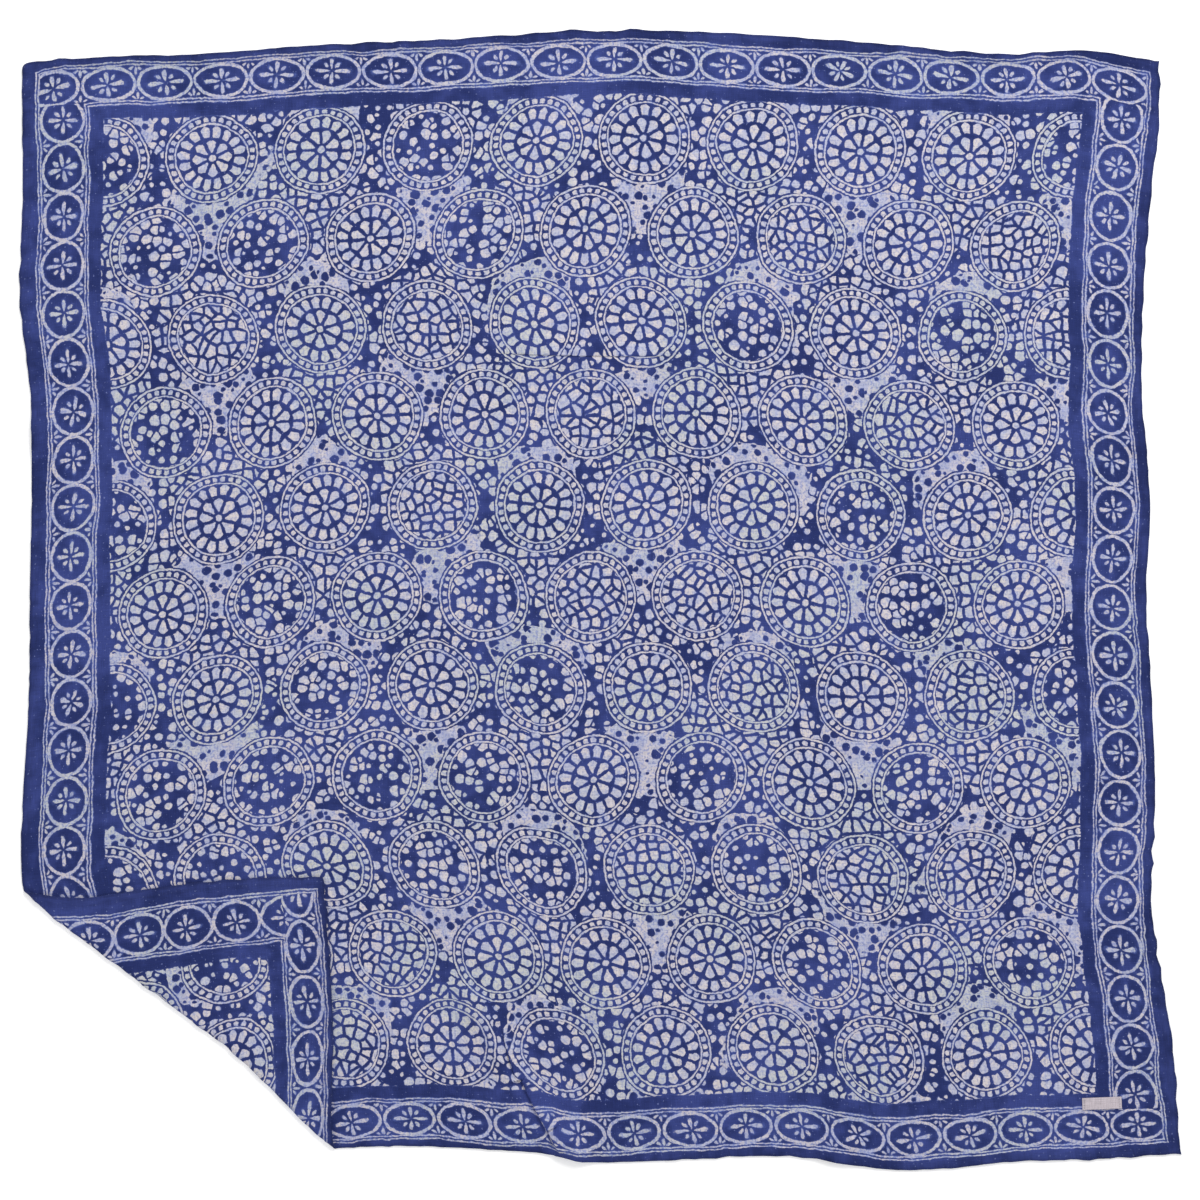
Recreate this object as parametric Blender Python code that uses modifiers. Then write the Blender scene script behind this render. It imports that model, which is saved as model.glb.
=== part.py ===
# A square cotton bandana, laid flat face up with one corner folded over onto the face.
# Metres, +Z up. +Y is the top of the cloth as it lies, and the origin is under the middle of its box.

import math

import bmesh
import bpy
from mathutils import Vector

MM = 0.001

# Cloth as it was cut and hemmed
CUT_SIDE = 560 * MM
CLOTH_THICKNESS = 1.0 * MM
GRID_CELLS = 56

# Corners of the cloth as it lies, before the bottom left one is folded over
TOP_LEFT = Vector((-285.0, 265.2)) * MM
TOP_RIGHT = Vector((275.1, 265.2)) * MM
BOTTOM_RIGHT = Vector((285.9, -272.6)) * MM
BOTTOM_LEFT = Vector((-263.8, -288.4)) * MM

# Each edge wanders from the straight line between its corners.
# Columns: share of the edge, millimetres outwards
TOP_EDGE = (
    (0.00, 0.0),
    (0.07, 2.5),
    (0.16, 3.9),
    (0.25, 7.9),
    (0.33, 9.9),
    (0.42, 12.8),
    (0.50, 15.7),
    (0.60, 14.8),
    (0.69, 11.8),
    (0.77, 7.9),
    (0.87, 3.8),
    (0.935, 5.7),
    (1.00, 0.0),
)
RIGHT_EDGE = (
    (0.00, 0.0),
    (0.04, 0.6),
    (0.13, -5.3),
    (0.22, -9.8),
    (0.31, -11.2),
    (0.40, -8.3),
    (0.49, -11.2),
    (0.59, -9.3),
    (0.68, -8.8),
    (0.77, -11.3),
    (0.86, -5.4),
    (0.91, -2.4),
    (1.00, 0.0),
)
BOTTOM_EDGE = (
    (0.00, 0.0),
    (0.12, -5.8),
    (0.24, -14.4),
    (0.30, -14.5),
    (0.36, -12.6),
    (0.40, -10.6),
    (0.435, -8.4),
    (0.465, -4.2),
    (0.50, -3.5),
    (0.56, -3.8),
    (0.62, -4.6),
    (0.67, -2.8),
    (0.70, 0.8),
    (0.75, 4.4),
    (0.80, 4.0),
    (0.85, 1.8),
    (0.93, 1.8),
    (1.00, 0.0),
)
LEFT_EDGE = (
    (0.00, 0.0),
    (0.12, 2.1),
    (0.21, 5.5),
    (0.26, 3.5),
    (0.30, 1.9),
    (0.39, 3.4),
    (0.48, 6.2),
    (0.57, 8.6),
    (0.66, 13.5),
    (0.72, 14.6),
    (0.79, 7.0),
    (0.83, 6.2),
    (0.92, 4.5),
    (1.00, 0.0),
)

# The folded corner turns over along a line between these two places on the cloth's edges
FOLD_START = Vector((-282.5, -142.0)) * MM
FOLD_END = Vector((-129.7, -270.2)) * MM
FOLD_RADIUS = 1.35 * MM
FOLD_STEPS = 8
FLAP_GAP = 0.5 * MM
FOLD_PUFF_REACH = 14 * MM
# The fold isn't quite straight. Columns: millimetres along it, millimetres outwards
FOLD_WAVES = (
    (-20, 0.0),
    (0, 1.6),
    (21, 2.4),
    (47, 1.0),
    (89, -1.4),
    (111, -2.7),
    (131, -3.4),
    (165, -1.0),
    (176, 0.4),
    (192, 0.7),
    (215, 0.0),
)
FOLD_WAVE_REACH = 45 * MM

# Soft creases that stand up from the surface.
# Columns in millimetres: start x and y, end x and y, height, half width.
# The last two are the shares of the length over which the crease fades in and fades out.
CREASES = (
    (-75, -180, -26, -262, 3.0, 6.0, 0.30, 0.00),
    (-24, -258, -10, -284, 3.6, 7.0, 0.30, 0.00),
    (-60, 121, 62, 119, 1.4, 7.0, 0.35, 0.35),
    (222, 88, 272, 78, 2.2, 7.0, 0.40, 0.00),
    (-240, 250, -196, 92, 1.2, 8.0, 0.35, 0.35),
    (-288, 84, -262, 70, 2.0, 8.0, 0.10, 0.60),
    (150, 276, 128, 205, 1.4, 8.0, 0.05, 0.60),
    (228, 282, 236, 246, 2.2, 7.0, 0.05, 0.70),
    (118, -286, 96, -236, 1.8, 8.0, 0.05, 0.70),
    (196, -60, 268, -92, 1.4, 8.0, 0.40, 0.20),
)

# A woven tape sewn flat on the face, near the bottom right corner
LABEL_LENGTH = 19.4 * MM
LABEL_WIDTH = 5.8 * MM
LABEL_THICKNESS = 0.5 * MM
LABEL_CENTRE = Vector((247.2, -248.2)) * MM
LABEL_TURN = math.radians(2.2)
LABEL_ROUNDING = 0.12 * MM
SEAT_GAP = 0.3 * MM

CLOTH_BLUE = (0.034, 0.050, 0.205, 1.0)
TAPE_WHITE = (0.62, 0.58, 0.58, 1.0)


def read_edge(table, share):
    """How far outwards an edge lies at a share of its length, by a smooth curve through its rows."""
    last = len(table) - 1
    row = max(i for i in range(last) if table[i][0] <= share)
    (x0, y0), (x1, y1) = table[row], table[row + 1]
    before = table[max(row - 1, 0)]
    after = table[min(row + 2, last)]
    slope0 = (y1 - before[1]) / (x1 - before[0])
    slope1 = (after[1] - y0) / (after[0] - x0)
    span = x1 - x0
    t = (share - x0) / span
    start = (2 * t**3 - 3 * t**2 + 1) * y0 + (t**3 - 2 * t**2 + t) * span * slope0
    end = (3 * t**2 - 2 * t**3) * y1 + (t**3 - t**2) * span * slope1
    return (start + end) * MM


def outward(start, end):
    """The unit vector to the left of the line from start to end."""
    along = (end - start).normalized()
    return Vector((-along.y, along.x))


def lay_out(flat):
    """Where a place on the cut cloth lies. It is given in metres from the bottom left corner."""
    right, up = (min(max(number / CUT_SIDE, 0.0), 1.0) for number in flat[:2])
    across_top = TOP_LEFT.lerp(TOP_RIGHT, right)
    across_bottom = BOTTOM_LEFT.lerp(BOTTOM_RIGHT, right)
    place = across_bottom.lerp(across_top, up)
    place += outward(TOP_LEFT, TOP_RIGHT) * read_edge(TOP_EDGE, right) * up
    place -= outward(BOTTOM_LEFT, BOTTOM_RIGHT) * read_edge(BOTTOM_EDGE, right) * (1 - up)
    place += outward(TOP_RIGHT, BOTTOM_RIGHT) * read_edge(RIGHT_EDGE, 1 - up) * right
    place -= outward(TOP_LEFT, BOTTOM_LEFT) * read_edge(LEFT_EDGE, 1 - up) * (1 - right)
    return place


def crease_height(place):
    """How high the soft creases lift the cloth at a place."""
    height = 0.0
    for x0, y0, x1, y1, rise, half_width, fade_in, fade_out in CREASES:
        start = Vector((x0, y0)) * MM
        line = Vector((x1, y1)) * MM - start
        share = (place - start).dot(line) / line.length_squared
        if not 0 <= share <= 1:
            continue
        aside = (place - start - line * share).length / (half_width * MM)
        strength = min(1.0, share / fade_in if fade_in else 1.0)
        strength = min(strength, (1 - share) / fade_out if fade_out else 1.0)
        strength = strength * strength * (3 - 2 * strength)
        height = max(height, rise * MM * strength * math.exp(-aside * aside))
    return height


def past_fold(place):
    """How far a place lies beyond the fold line, towards the folded corner."""
    return -outward(FOLD_START, FOLD_END).dot(place - FOLD_START) + FOLD_RADIUS


def wander(place):
    """The fold's own waviness, which both of its layers share."""
    along = (place - FOLD_START).dot((FOLD_END - FOLD_START).normalized())
    aside = past_fold(place) / FOLD_WAVE_REACH
    first, last = FOLD_WAVES[0][0] * MM, FOLD_WAVES[-1][0] * MM
    if not first < along < last:
        return place
    outwards = -outward(FOLD_START, FOLD_END) * read_edge(FOLD_WAVES, along / MM)
    return place + outwards * math.exp(-aside * aside)


def drape(flat):
    """Where a place on the middle of the cloth's thickness lies, with the corner folded over."""
    laid = lay_out(flat)
    outwards = -outward(FOLD_START, FOLD_END)
    past = past_fold(laid)
    turn = past / FOLD_RADIUS
    low = CLOTH_THICKNESS / 2
    if past <= 0:
        place = wander(laid)
        return Vector((place.x, place.y, low + crease_height(place)))
    if turn < math.pi:
        place = wander(laid + outwards * (FOLD_RADIUS * math.sin(turn) - past))
        return Vector((place.x, place.y, low + FOLD_RADIUS * (1 - math.cos(turn))))
    inward = past - math.pi * FOLD_RADIUS
    place = wander(laid - outwards * (past + inward))
    closed = CLOTH_THICKNESS + FLAP_GAP
    puff = (2 * FOLD_RADIUS - closed) * math.exp(-((inward / FOLD_PUFF_REACH) ** 2))
    return Vector((place.x, place.y, low + closed + puff + crease_height(place)))


def cut_along_fold(mesh):
    """Rows of edges along the fold, so that it turns over in a round."""
    # The rows are straight once the cloth is laid out, so it is cut there.
    # Each vertex keeps its place on the cut cloth.
    flat_places = mesh.verts.layers.float_vector.new("flat")
    for vertex in mesh.verts:
        vertex[flat_places] = vertex.co
        place = lay_out(vertex.co)
        vertex.co = (place.x, place.y, 0)
    outwards = -outward(FOLD_START, FOLD_END)
    turned_length = math.pi * FOLD_RADIUS
    for step in range(FOLD_STEPS + 1):
        past = turned_length * step / FOLD_STEPS - FOLD_RADIUS
        row = FOLD_START + outwards * past
        bmesh.ops.bisect_plane(
            mesh,
            geom=mesh.verts[:] + mesh.edges[:] + mesh.faces[:],
            dist=0.08 * MM,
            plane_co=(row.x, row.y, 0),
            plane_no=(outwards.x, outwards.y, 0),
        )
    return flat_places


def cloth_mesh():
    """A grid over the cut square, cut along the fold and laid in place."""
    mesh = bmesh.new()
    bmesh.ops.create_grid(mesh, x_segments=GRID_CELLS, y_segments=GRID_CELLS, size=CUT_SIDE / 2)
    bmesh.ops.translate(mesh, verts=mesh.verts, vec=(CUT_SIDE / 2, CUT_SIDE / 2, 0))
    flat_places = cut_along_fold(mesh)
    for vertex in mesh.verts:
        vertex.co = drape(vertex[flat_places])
    return mesh


def box_middle(mesh):
    """The middle of a mesh's box, seen from above."""
    xs = [vertex.co.x for vertex in mesh.verts]
    ys = [vertex.co.y for vertex in mesh.verts]
    return Vector(((min(xs) + max(xs)) / 2, (min(ys) + max(ys)) / 2, 0))


def plain_material(name, colour, roughness):
    """A material with one colour."""
    material = bpy.data.materials.new(name)
    material.use_nodes = True
    shader = material.node_tree.nodes["Principled BSDF"]
    shader.inputs["Base Color"].default_value = colour
    shader.inputs["Roughness"].default_value = roughness
    shader.inputs["Metallic"].default_value = 0.0
    material.diffuse_color = colour
    return material


def add_piece(name, mesh, material, collection):
    """An object with this mesh and material, in the collection."""
    data = bpy.data.meshes.new(name)
    mesh.to_mesh(data)
    mesh.free()
    piece = bpy.data.objects.new(name, data)
    piece.data.materials.append(material)
    collection.objects.link(piece)
    return piece


def add_cloth(collection):
    """The bandana, as one solid. It returns the point that becomes the origin."""
    mesh = cloth_mesh()
    middle = box_middle(mesh)
    bmesh.ops.translate(mesh, verts=mesh.verts, vec=-middle)
    cloth = add_piece("cloth", mesh, plain_material("dyed_cotton", CLOTH_BLUE, 0.9), collection)
    thicken = cloth.modifiers.new("Thickness", "SOLIDIFY")
    thicken.thickness = CLOTH_THICKNESS
    thicken.offset = 0
    return middle


def add_label(collection, middle):
    """The sewn tape, lying on the cloth."""
    mesh = bmesh.new()
    bmesh.ops.create_cube(mesh, size=1)
    bmesh.ops.scale(mesh, vec=(LABEL_LENGTH, LABEL_WIDTH, LABEL_THICKNESS), verts=mesh.verts)
    piece = add_piece("label", mesh, plain_material("woven_tape", TAPE_WHITE, 0.85), collection)
    height = CLOTH_THICKNESS + SEAT_GAP + LABEL_THICKNESS / 2
    piece.location = Vector((LABEL_CENTRE.x, LABEL_CENTRE.y, height)) - middle
    piece.rotation_euler.z = LABEL_TURN
    rounded = piece.modifiers.new("Rounded edges", "BEVEL")
    rounded.width = LABEL_ROUNDING
    rounded.segments = 2


def main():
    for leftover in list(bpy.data.objects):
        bpy.data.objects.remove(leftover)
    collection = bpy.data.collections.new("Batik bandana")
    bpy.context.scene.collection.children.link(collection)
    middle = add_cloth(collection)
    add_label(collection, middle)


main()
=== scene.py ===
import math

import bpy
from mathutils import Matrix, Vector, noise


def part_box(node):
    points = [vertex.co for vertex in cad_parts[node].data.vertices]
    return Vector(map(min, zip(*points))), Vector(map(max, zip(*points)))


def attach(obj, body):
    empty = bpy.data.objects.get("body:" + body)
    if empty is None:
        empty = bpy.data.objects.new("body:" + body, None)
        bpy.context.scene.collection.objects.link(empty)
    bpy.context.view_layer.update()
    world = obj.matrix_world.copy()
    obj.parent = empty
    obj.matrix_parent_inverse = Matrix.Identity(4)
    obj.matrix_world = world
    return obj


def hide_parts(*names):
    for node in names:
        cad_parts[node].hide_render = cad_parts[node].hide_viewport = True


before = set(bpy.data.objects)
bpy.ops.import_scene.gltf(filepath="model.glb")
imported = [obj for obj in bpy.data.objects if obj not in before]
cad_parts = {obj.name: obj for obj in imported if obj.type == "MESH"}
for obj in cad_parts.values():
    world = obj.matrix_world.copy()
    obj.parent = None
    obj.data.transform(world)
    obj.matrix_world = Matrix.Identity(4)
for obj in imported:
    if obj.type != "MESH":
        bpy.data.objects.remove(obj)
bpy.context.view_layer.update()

MM = 0.001

# The bandana as it was cut and hemmed, and how it lies
CUT_SIDE = 560 * MM
CLOTH_THICKNESS = 0.45 * MM
HEM_THICKNESS = 0.95 * MM
HEM_WIDTH = 4.0 * MM
HEM_STEP = 0.7 * MM
HEM_RIM = 0.6 * MM
GRID_CELLS = 172

TOP_LEFT = Vector((-285.0, 265.2)) * MM
TOP_RIGHT = Vector((275.1, 265.2)) * MM
BOTTOM_RIGHT = Vector((285.9, -272.6)) * MM
BOTTOM_LEFT = Vector((-263.8, -288.4)) * MM

# Each edge wanders from the straight line between its corners.
# Columns: share of the edge, millimetres outwards
TOP_EDGE = (
    (0.00, 0.0), (0.07, 2.5), (0.16, 3.9), (0.25, 7.9), (0.33, 9.9), (0.42, 12.8), (0.50, 15.7),
    (0.60, 14.8), (0.69, 11.8), (0.77, 7.9), (0.87, 3.8), (0.935, 5.7), (1.00, 0.0),
)
RIGHT_EDGE = (
    (0.00, 0.0), (0.04, 0.6), (0.13, -5.3), (0.22, -9.8), (0.31, -11.2), (0.40, -8.3), (0.49, -11.2),
    (0.59, -9.3), (0.68, -8.8), (0.77, -11.3), (0.86, -5.4), (0.91, -2.4), (1.00, 0.0),
)
BOTTOM_EDGE = (
    (0.00, 0.0), (0.12, -5.8), (0.24, -14.4), (0.30, -14.5), (0.36, -12.6), (0.40, -10.6),
    (0.435, -8.4), (0.465, -4.2), (0.50, -3.5), (0.56, -3.8), (0.62, -4.6), (0.67, -2.8),
    (0.70, 0.8), (0.75, 4.4), (0.80, 4.0), (0.85, 1.8), (0.93, 1.8), (1.00, 0.0),
)
LEFT_EDGE = (
    (0.00, 0.0), (0.12, 2.1), (0.21, 5.5), (0.26, 3.5), (0.30, 1.9), (0.39, 3.4), (0.48, 6.2),
    (0.57, 8.6), (0.66, 13.5), (0.72, 14.6), (0.79, 7.0), (0.83, 6.2), (0.92, 4.5), (1.00, 0.0),
)

# The folded corner turns over along a line between these two places on the cloth's edges
FOLD_START = Vector((-282.5, -142.0)) * MM
FOLD_END = Vector((-129.7, -270.2)) * MM
FOLD_RADIUS = 1.35 * MM
FOLD_STEPS = 12
FLAP_GAP = 0.5 * MM
FOLD_PUFF_REACH = 14 * MM
# Columns: millimetres along the fold, millimetres outwards
FOLD_WAVES = (
    (-20, 0.0), (0, 1.6), (21, 2.4), (47, 1.0), (89, -1.4), (111, -2.7), (131, -3.4), (165, -1.0),
    (176, 0.4), (192, 0.7), (215, 0.0),
)
FOLD_WAVE_REACH = 45 * MM

# Soft creases that stand up from the surface.
# Columns in millimetres: start x and y, end x and y, height, half width.
# The last two are the shares of the length over which the crease fades in and fades out.
CREASES = (
    (-75, -180, -26, -262, 3.0, 6.0, 0.30, 0.00),
    (-24, -258, -10, -284, 3.6, 7.0, 0.30, 0.00),
    (-60, 121, 62, 119, 1.4, 7.0, 0.35, 0.35),
    (222, 88, 272, 78, 2.2, 7.0, 0.40, 0.00),
    (-240, 250, -196, 92, 1.2, 8.0, 0.35, 0.35),
    (-288, 84, -262, 70, 2.0, 8.0, 0.10, 0.60),
    (150, 276, 128, 205, 1.4, 8.0, 0.05, 0.60),
    (228, 282, 236, 246, 2.2, 7.0, 0.05, 0.70),
    (118, -286, 96, -236, 1.8, 8.0, 0.05, 0.70),
    (196, -60, 268, -92, 1.4, 8.0, 0.40, 0.20),
)

# Narrow valleys pinched into the creases, steep on the left of their line and gentle on its right.
# Columns in millimetres: start x and y, end x and y, depth, half width
PINCHES = (
    (-50, -208, -42, -237, 2.6, 1.3),
    (-43, -230, -21, -273, 3.6, 1.5),
    (-56, 121, 40, 119.5, 0.9, 0.9),
)
PINCH_REACH = 6 * MM
PINCH_CUTS = 5
# Each valley keeps this share of the crease's height under it
PINCH_FLOOR = 0.06
# In half widths: how wide the gentle side is, and where the steep rim stands, its breadth and its lean
PINCH_FLANK = 2.5
PINCH_RIM = 1.7
PINCH_RIM_WIDTH = 0.8
PINCH_LEAN = 1.35

# Slight unevenness of the laid cloth, and the puckers that the hem's stitches draw
RUMPLE_HEIGHT = 0.55 * MM
RUMPLE_SIZE = 34 * MM
RUMPLE_SHARE = 0.12
FLAP_RUMPLE = 0.6
PUCKER_HEIGHT = 0.5 * MM
PUCKER_PITCH = 7.5 * MM
PUCKER_REACH = 10 * MM
CORNER_REACH = 2.2 * MM
# How far the hem's turning pulls each corner in, or pushes it out where this is less than 0.
# Keys: 0 or 1 to the right, 0 or 1 up
CORNER_PULLS = {(0, 0): 0.6 * MM, (1, 0): -0.9 * MM, (0, 1): 1.3 * MM, (1, 1): -0.9 * MM}
FOLD_BUMP = 0.9 * MM
FOLD_BUMP_PITCH = 8 * MM
EDGE_RIPPLE = 1.5 * MM
RIPPLE_CALM = 0.35
RIPPLE_LIVELY = 1.3
RIPPLE_PATCH = 6

# The print on the cloth, in millimetres: its frame of stripes, its chain of ovals and its field
PRINT_WIDTH = 546.0
PRINT_HEIGHT = 551.0
ROW_BAND = 21.5
SIDE_BAND = 26.0
FIELD_MARGIN = 6.6
# How far the dye has crept in from both sides of the frame's white lines, which makes them thinner
FRAME_THINNING = 0.045
# Where each chain's first oval has its middle, from the left or from the top, and the step to the next
CHAINS = {"top": (8.6, 27.5), "bottom": (0.4, 28.0), "left": (26.8, 24.1), "right": (26.8, 24.9)}
# Sizes of the ovals and of their flowers' petals, in the rows and in the side chains
OVALS = {
    "Half length": (12.0, 10.7),
    "Half height": (7.2, 9.1),
    "Half band": (8.5, 10.75),
    "Petal along": (7.9, 6.8),
    "Petal across": (5.8, 6.4),
}
# The middles of the rows and of the side chains, and where the side chains start, from the frame's outer line
ROW_MIDDLE = 10.75
SIDE_MIDDLE = 13.0
ROW_END = 18.8
# The two lines of a stripe, of which the second borders the chain. Columns: middle, half width
STRIPE = ((0.42, 0.37), (1.92, 0.39))
# Each oval's ring: where its middle lies outside the oval, and its half width
OVAL_RING = (0.83, 0.81)
# The sprigs between ovals. Each leaf: where its middle lies along it, half its length and half its width
MIDDLE_LEAF = (2.7, 1.9, 0.75)
SIDE_LEAF = (0.0, 1.5, 0.62)
SIDE_LEAF_PLACE = (2.3, 1.7)
SIDE_LEAF_TURN = (0.82, 0.57)
SIDE_LEAF_SLANT = 0.2
SPRIG_GAP = 2.3
# The flower in an oval. Each large petal: how it broadens outwards, then its middle and half its length as
# shares of its reach
LONG_PETAL = (0.17, 0.60, 0.47)
TALL_PETAL = (0.22, 0.61, 0.48)
PETAL_POINT = 2.2
PETAL_WIDTH = 1.28
# The small slanting petals: where the nearest has its middle, how much farther others go, half their size
SMALL_PETAL = (3.9, 0.5)
SMALL_PETAL_SIZE = (1.5, 0.88)
DIAGONAL = 0.707
# How the stamping varies: each flower's shift and lean, and the share of the flowers that are twisted
FLOWER_SHIFT = (1.1, 0.8)
FLOWER_LEAN = 0.22
TWISTED_SHARE = 0.30
TWISTED_LEAN = 0.9
TWISTED_WIDTH = 0.2
# How much dye has strayed into the frame's whites, in the chain and up to this far from the lines
CHAIN_STAIN = 0.72
LINE_STAIN = 0.95
LINE_STAIN_REACH = 0.3

# How far the drawing strays from its true place, and over what length
HAND_SWAY = (3.0, 27.0)
HAND_SHAKE = (0.9, 3.6)

# The field's roundels, in staggered rows
ROUNDEL_COLUMNS = 53.4
ROUNDEL_ROWS = 45.2
# Columns: petals, inner radius, outer radius, half the gap between petals, roundness of the outer ends
FLOWER_RINGS = ((8, 3.0, 9.7, 0.87, 0.24), (16, 11.2, 16.7, 0.83, 0.34))
BEAD_RING = (32, 18.7, 21.1, 0.74, 0.40)
# Columns: radius, half width
ROUNDEL_LINES = ((17.7, 0.44), (22.1, 0.46))
FLOWER_EYE = 1.6
DISC_RADIUS = 16.9
ROUNDEL_REACH = 22.6
SPREAD_START = 23.3
# The cells in which dots and shards lie, the least dot and how much larger others are, and half their gaps
CELL = 5.3
CELL_UNEVENNESS = 0.88
DOT = (0.9, 2.15)
DOT_GAP = 0.46
SHARD_GAP = 0.80
TURNED_DOT = 0.82
# A slow wave over the ground, with noise of this strength and size, makes it shards where it is low and
# blue dots on white where it is high
PATCH_START = 0.6
PATCH_NOISE = (1.3, 40.0)
SHARD_PATCH = -0.42
TURNED_PATCH = (0.34, 0.50)
TURNED_STAIN = 0.7
# Shares of the roundels that are flowers, and of the others that are dots
FLOWERS = 0.48
DOT_DISCS = 0.62

# How far the frame's outer stripe lies inside the cloth's edges, which is as uneven as the cutting was.
# Columns: share of the edge, from the bottom or from the left, and millimetres
LEFT_MARGIN = (
    (0.00, 5.9), (0.08, 7.5), (0.20, 9.3), (0.28, 9.3), (0.50, 7.5), (0.80, 8.0), (1.00, 6.0),
)
RIGHT_MARGIN = (
    (0.00, 5.0), (0.05, 6.9), (0.13, 6.4), (0.18, 5.9), (0.23, 4.3), (0.60, 5.0), (0.66, 5.4),
    (0.73, 3.7), (0.84, 5.5), (1.00, 4.4),
)
BOTTOM_MARGIN = (
    (0.00, 2.8), (0.10, 2.4), (0.22, 2.0), (0.30, 3.1), (0.45, 2.7), (0.55, 4.0), (0.92, 5.4),
    (1.00, 5.4),
)
TOP_MARGIN = (
    (0.00, 5.9), (0.04, 3.2), (0.15, 3.1), (0.30, 3.6), (0.55, 4.1), (0.65, 5.9), (0.75, 4.0),
    (0.86, 2.3), (0.92, 2.6), (0.945, 4.1), (0.97, 5.0), (1.00, 5.0),
)

# The dye. Sizes in millimetres of the spots in which it varies
BROAD_SPOTS = 46.0
PATCHES = 8.0
GRAINS = 1.3
# How far the broken edge of the wax strays, in millimetres, by its grains and by its patches
EDGE_GRAIN = 0.6
EDGE_PATCH = 0.4
# Where each effect starts and is full: millimetres inside the white, or values of the noise that rules it
WHITE_EDGE = (-0.12, 0.18)
HALO_EDGE = (-0.7, 0.1)
HALO_PATCHES = (0.55, 0.72)
HALO_STAIN = (0.6, 1.0)
WASHED_PATCHES = (0.35, 0.68)
SPECKS = (0.72, 0.84)
STRAYED_GRAINS = (0.45, 0.64)
POOLED_PATCHES = (0.52, 0.64)
COOL_PATCHES = (0.38, 0.62)
GREEN_SPOTS = (0.48, 0.70)
# How much of its colour each effect mixes in. In pairs: everywhere, and what the print's own stain adds
HALO_SHARE = 0.7
HALO_FRINGE = (0.25, 0.3)
HALO_PATCH_FRINGE = 0.5
SPECK_SHARE = 0.6
GREEN_SHARE = 0.6
STRAYED_SHARE = (0.46, 0.40)
POOLED_SHARE = (0.16, 0.32)
VEIL_SHARE = 0.24
# How much of the washing out is broad, the rest being patchy
WASHED_BROADLY = 0.6

# The weave: its pitch in millimetres, how fast the slubs change, and how much threads and slubs stand out
CLOTH_THREAD = 0.42
TAPE_THREAD = 0.30
SEWING_THREAD = 0.12
SLUBS_ACROSS = 3.2
SLUBS_ALONG = 0.14
THREAD_RELIEF = 0.25
SLUB_RELIEF = 1.2
# How strongly the slubs' uneven tone and the painted shade of the hem and its rim scale the dye
SLUB_AND_PAINTED_SHADE_STRENGTH = 0.45
# Strength and depth of the bumps
CLOTH_BUMP = (0.5, 0.12 * MM)
TAPE_BUMP = (0.8, 0.10 * MM)
# The cotton's roughness in the blue and in the white, its gloss, and its sheen's weight and roughness
COTTON_ROUGHNESS = (0.82, 0.92)
COTTON_GLOSS = 0.12
COTTON_SHEEN = (0.03, 0.5)
TAPE_ROUGHNESS = 0.7
SEWING_ROUGHNESS = 0.6

# The tape sewn on near the lower right corner, and the stitches at its two ends
TAPE_LENGTH = 19.4 * MM
TAPE_WIDTH = 5.8 * MM
TAPE_THICKNESS = 0.3 * MM
TAPE_TURN = math.radians(2.2)
TAPE_ARCH = 0.25 * MM
TAPE_WAVE = 0.06 * MM
TAPE_WAVES = 9
STITCHES = 4
STITCH_PITCH = 1.25 * MM
STITCH_INSET = 1.0 * MM
STITCH_LENGTH = STITCH_PITCH * 0.75
STITCH_WIDTH = 0.30 * MM
STITCH_HEIGHT = 0.24 * MM
STITCH_LEAN = 0.12

# The camera looks straight down from here, and the picture spans this much of the surface
CAMERA_HEIGHT = 2.4
PICTURE_SPAN = 1200 * 0.493 * MM
FLOOR_SIZE = 6
FLOOR_TOP = -0.2 * MM

# How much painted shade darkens the hem and its rolled rim, and over how many millimetres from the edge this
# fades
PAINTED_HEM_SHADE = 0.26
PAINTED_HEM_SHADE_STEP = (3.4, 4.8)
PAINTED_RIM_SHADE = 0.50
PAINTED_RIM_SHADE_STEP = (0.3, 2.0)

# Light all round, a main lamp at the upper right and a weak one across from it.
# Each lamp: place in metres, width, power
STUDIO_LIGHT = 0.63
MAIN_LAMP = ((0.6, 1.2, 1.4), 1.1, 27)
FILL_LAMP = ((-1.4, -0.9, 2.0), 2.0, 9)

# Colours of the cloth in even light
DEEP_BLUE = (0.0158, 0.0255, 0.1150, 1.0)
WASHED_BLUE = (0.0355, 0.0515, 0.2030, 1.0)
STAIN_BLUE = (0.190, 0.226, 0.455, 1.0)
HALO_BLUE = (0.105, 0.150, 0.430, 1.0)
WARM_WHITE = (0.575, 0.528, 0.540, 1.0)
COOL_WHITE = (0.450, 0.455, 0.555, 1.0)
GREEN_WHITE = (0.462, 0.494, 0.483, 1.0)
TAPE_SHADE = (0.34, 0.30, 0.33, 1.0)
TAPE_WHITE = (0.60, 0.53, 0.58, 1.0)
THREAD_SHADE = (0.22, 0.20, 0.24, 1.0)
THREAD_WHITE = (0.50, 0.47, 0.52, 1.0)
FLOOR_WHITE = (0.93, 0.93, 0.93, 1.0)
FLOOR_ROUGHNESS = 0.9
FLOOR_GLOW = 0.25


def read_table(table, share):
    """A table's value at a share, by a smooth curve through its rows."""
    last = len(table) - 1
    row = max(i for i in range(last) if table[i][0] <= share)
    (x0, y0), (x1, y1) = table[row], table[row + 1]
    before = table[max(row - 1, 0)]
    after = table[min(row + 2, last)]
    slope0 = (y1 - before[1]) / (x1 - before[0])
    slope1 = (after[1] - y0) / (after[0] - x0)
    span = x1 - x0
    t = (share - x0) / span
    start = (2 * t**3 - 3 * t**2 + 1) * y0 + (t**3 - 2 * t**2 + t) * span * slope0
    end = (3 * t**2 - 2 * t**3) * y1 + (t**3 - t**2) * span * slope1
    return (start + end) * MM


def outward(start, end):
    """The unit vector to the left of the line from start to end."""
    along = (end - start).normalized()
    return Vector((-along.y, along.x))


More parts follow.
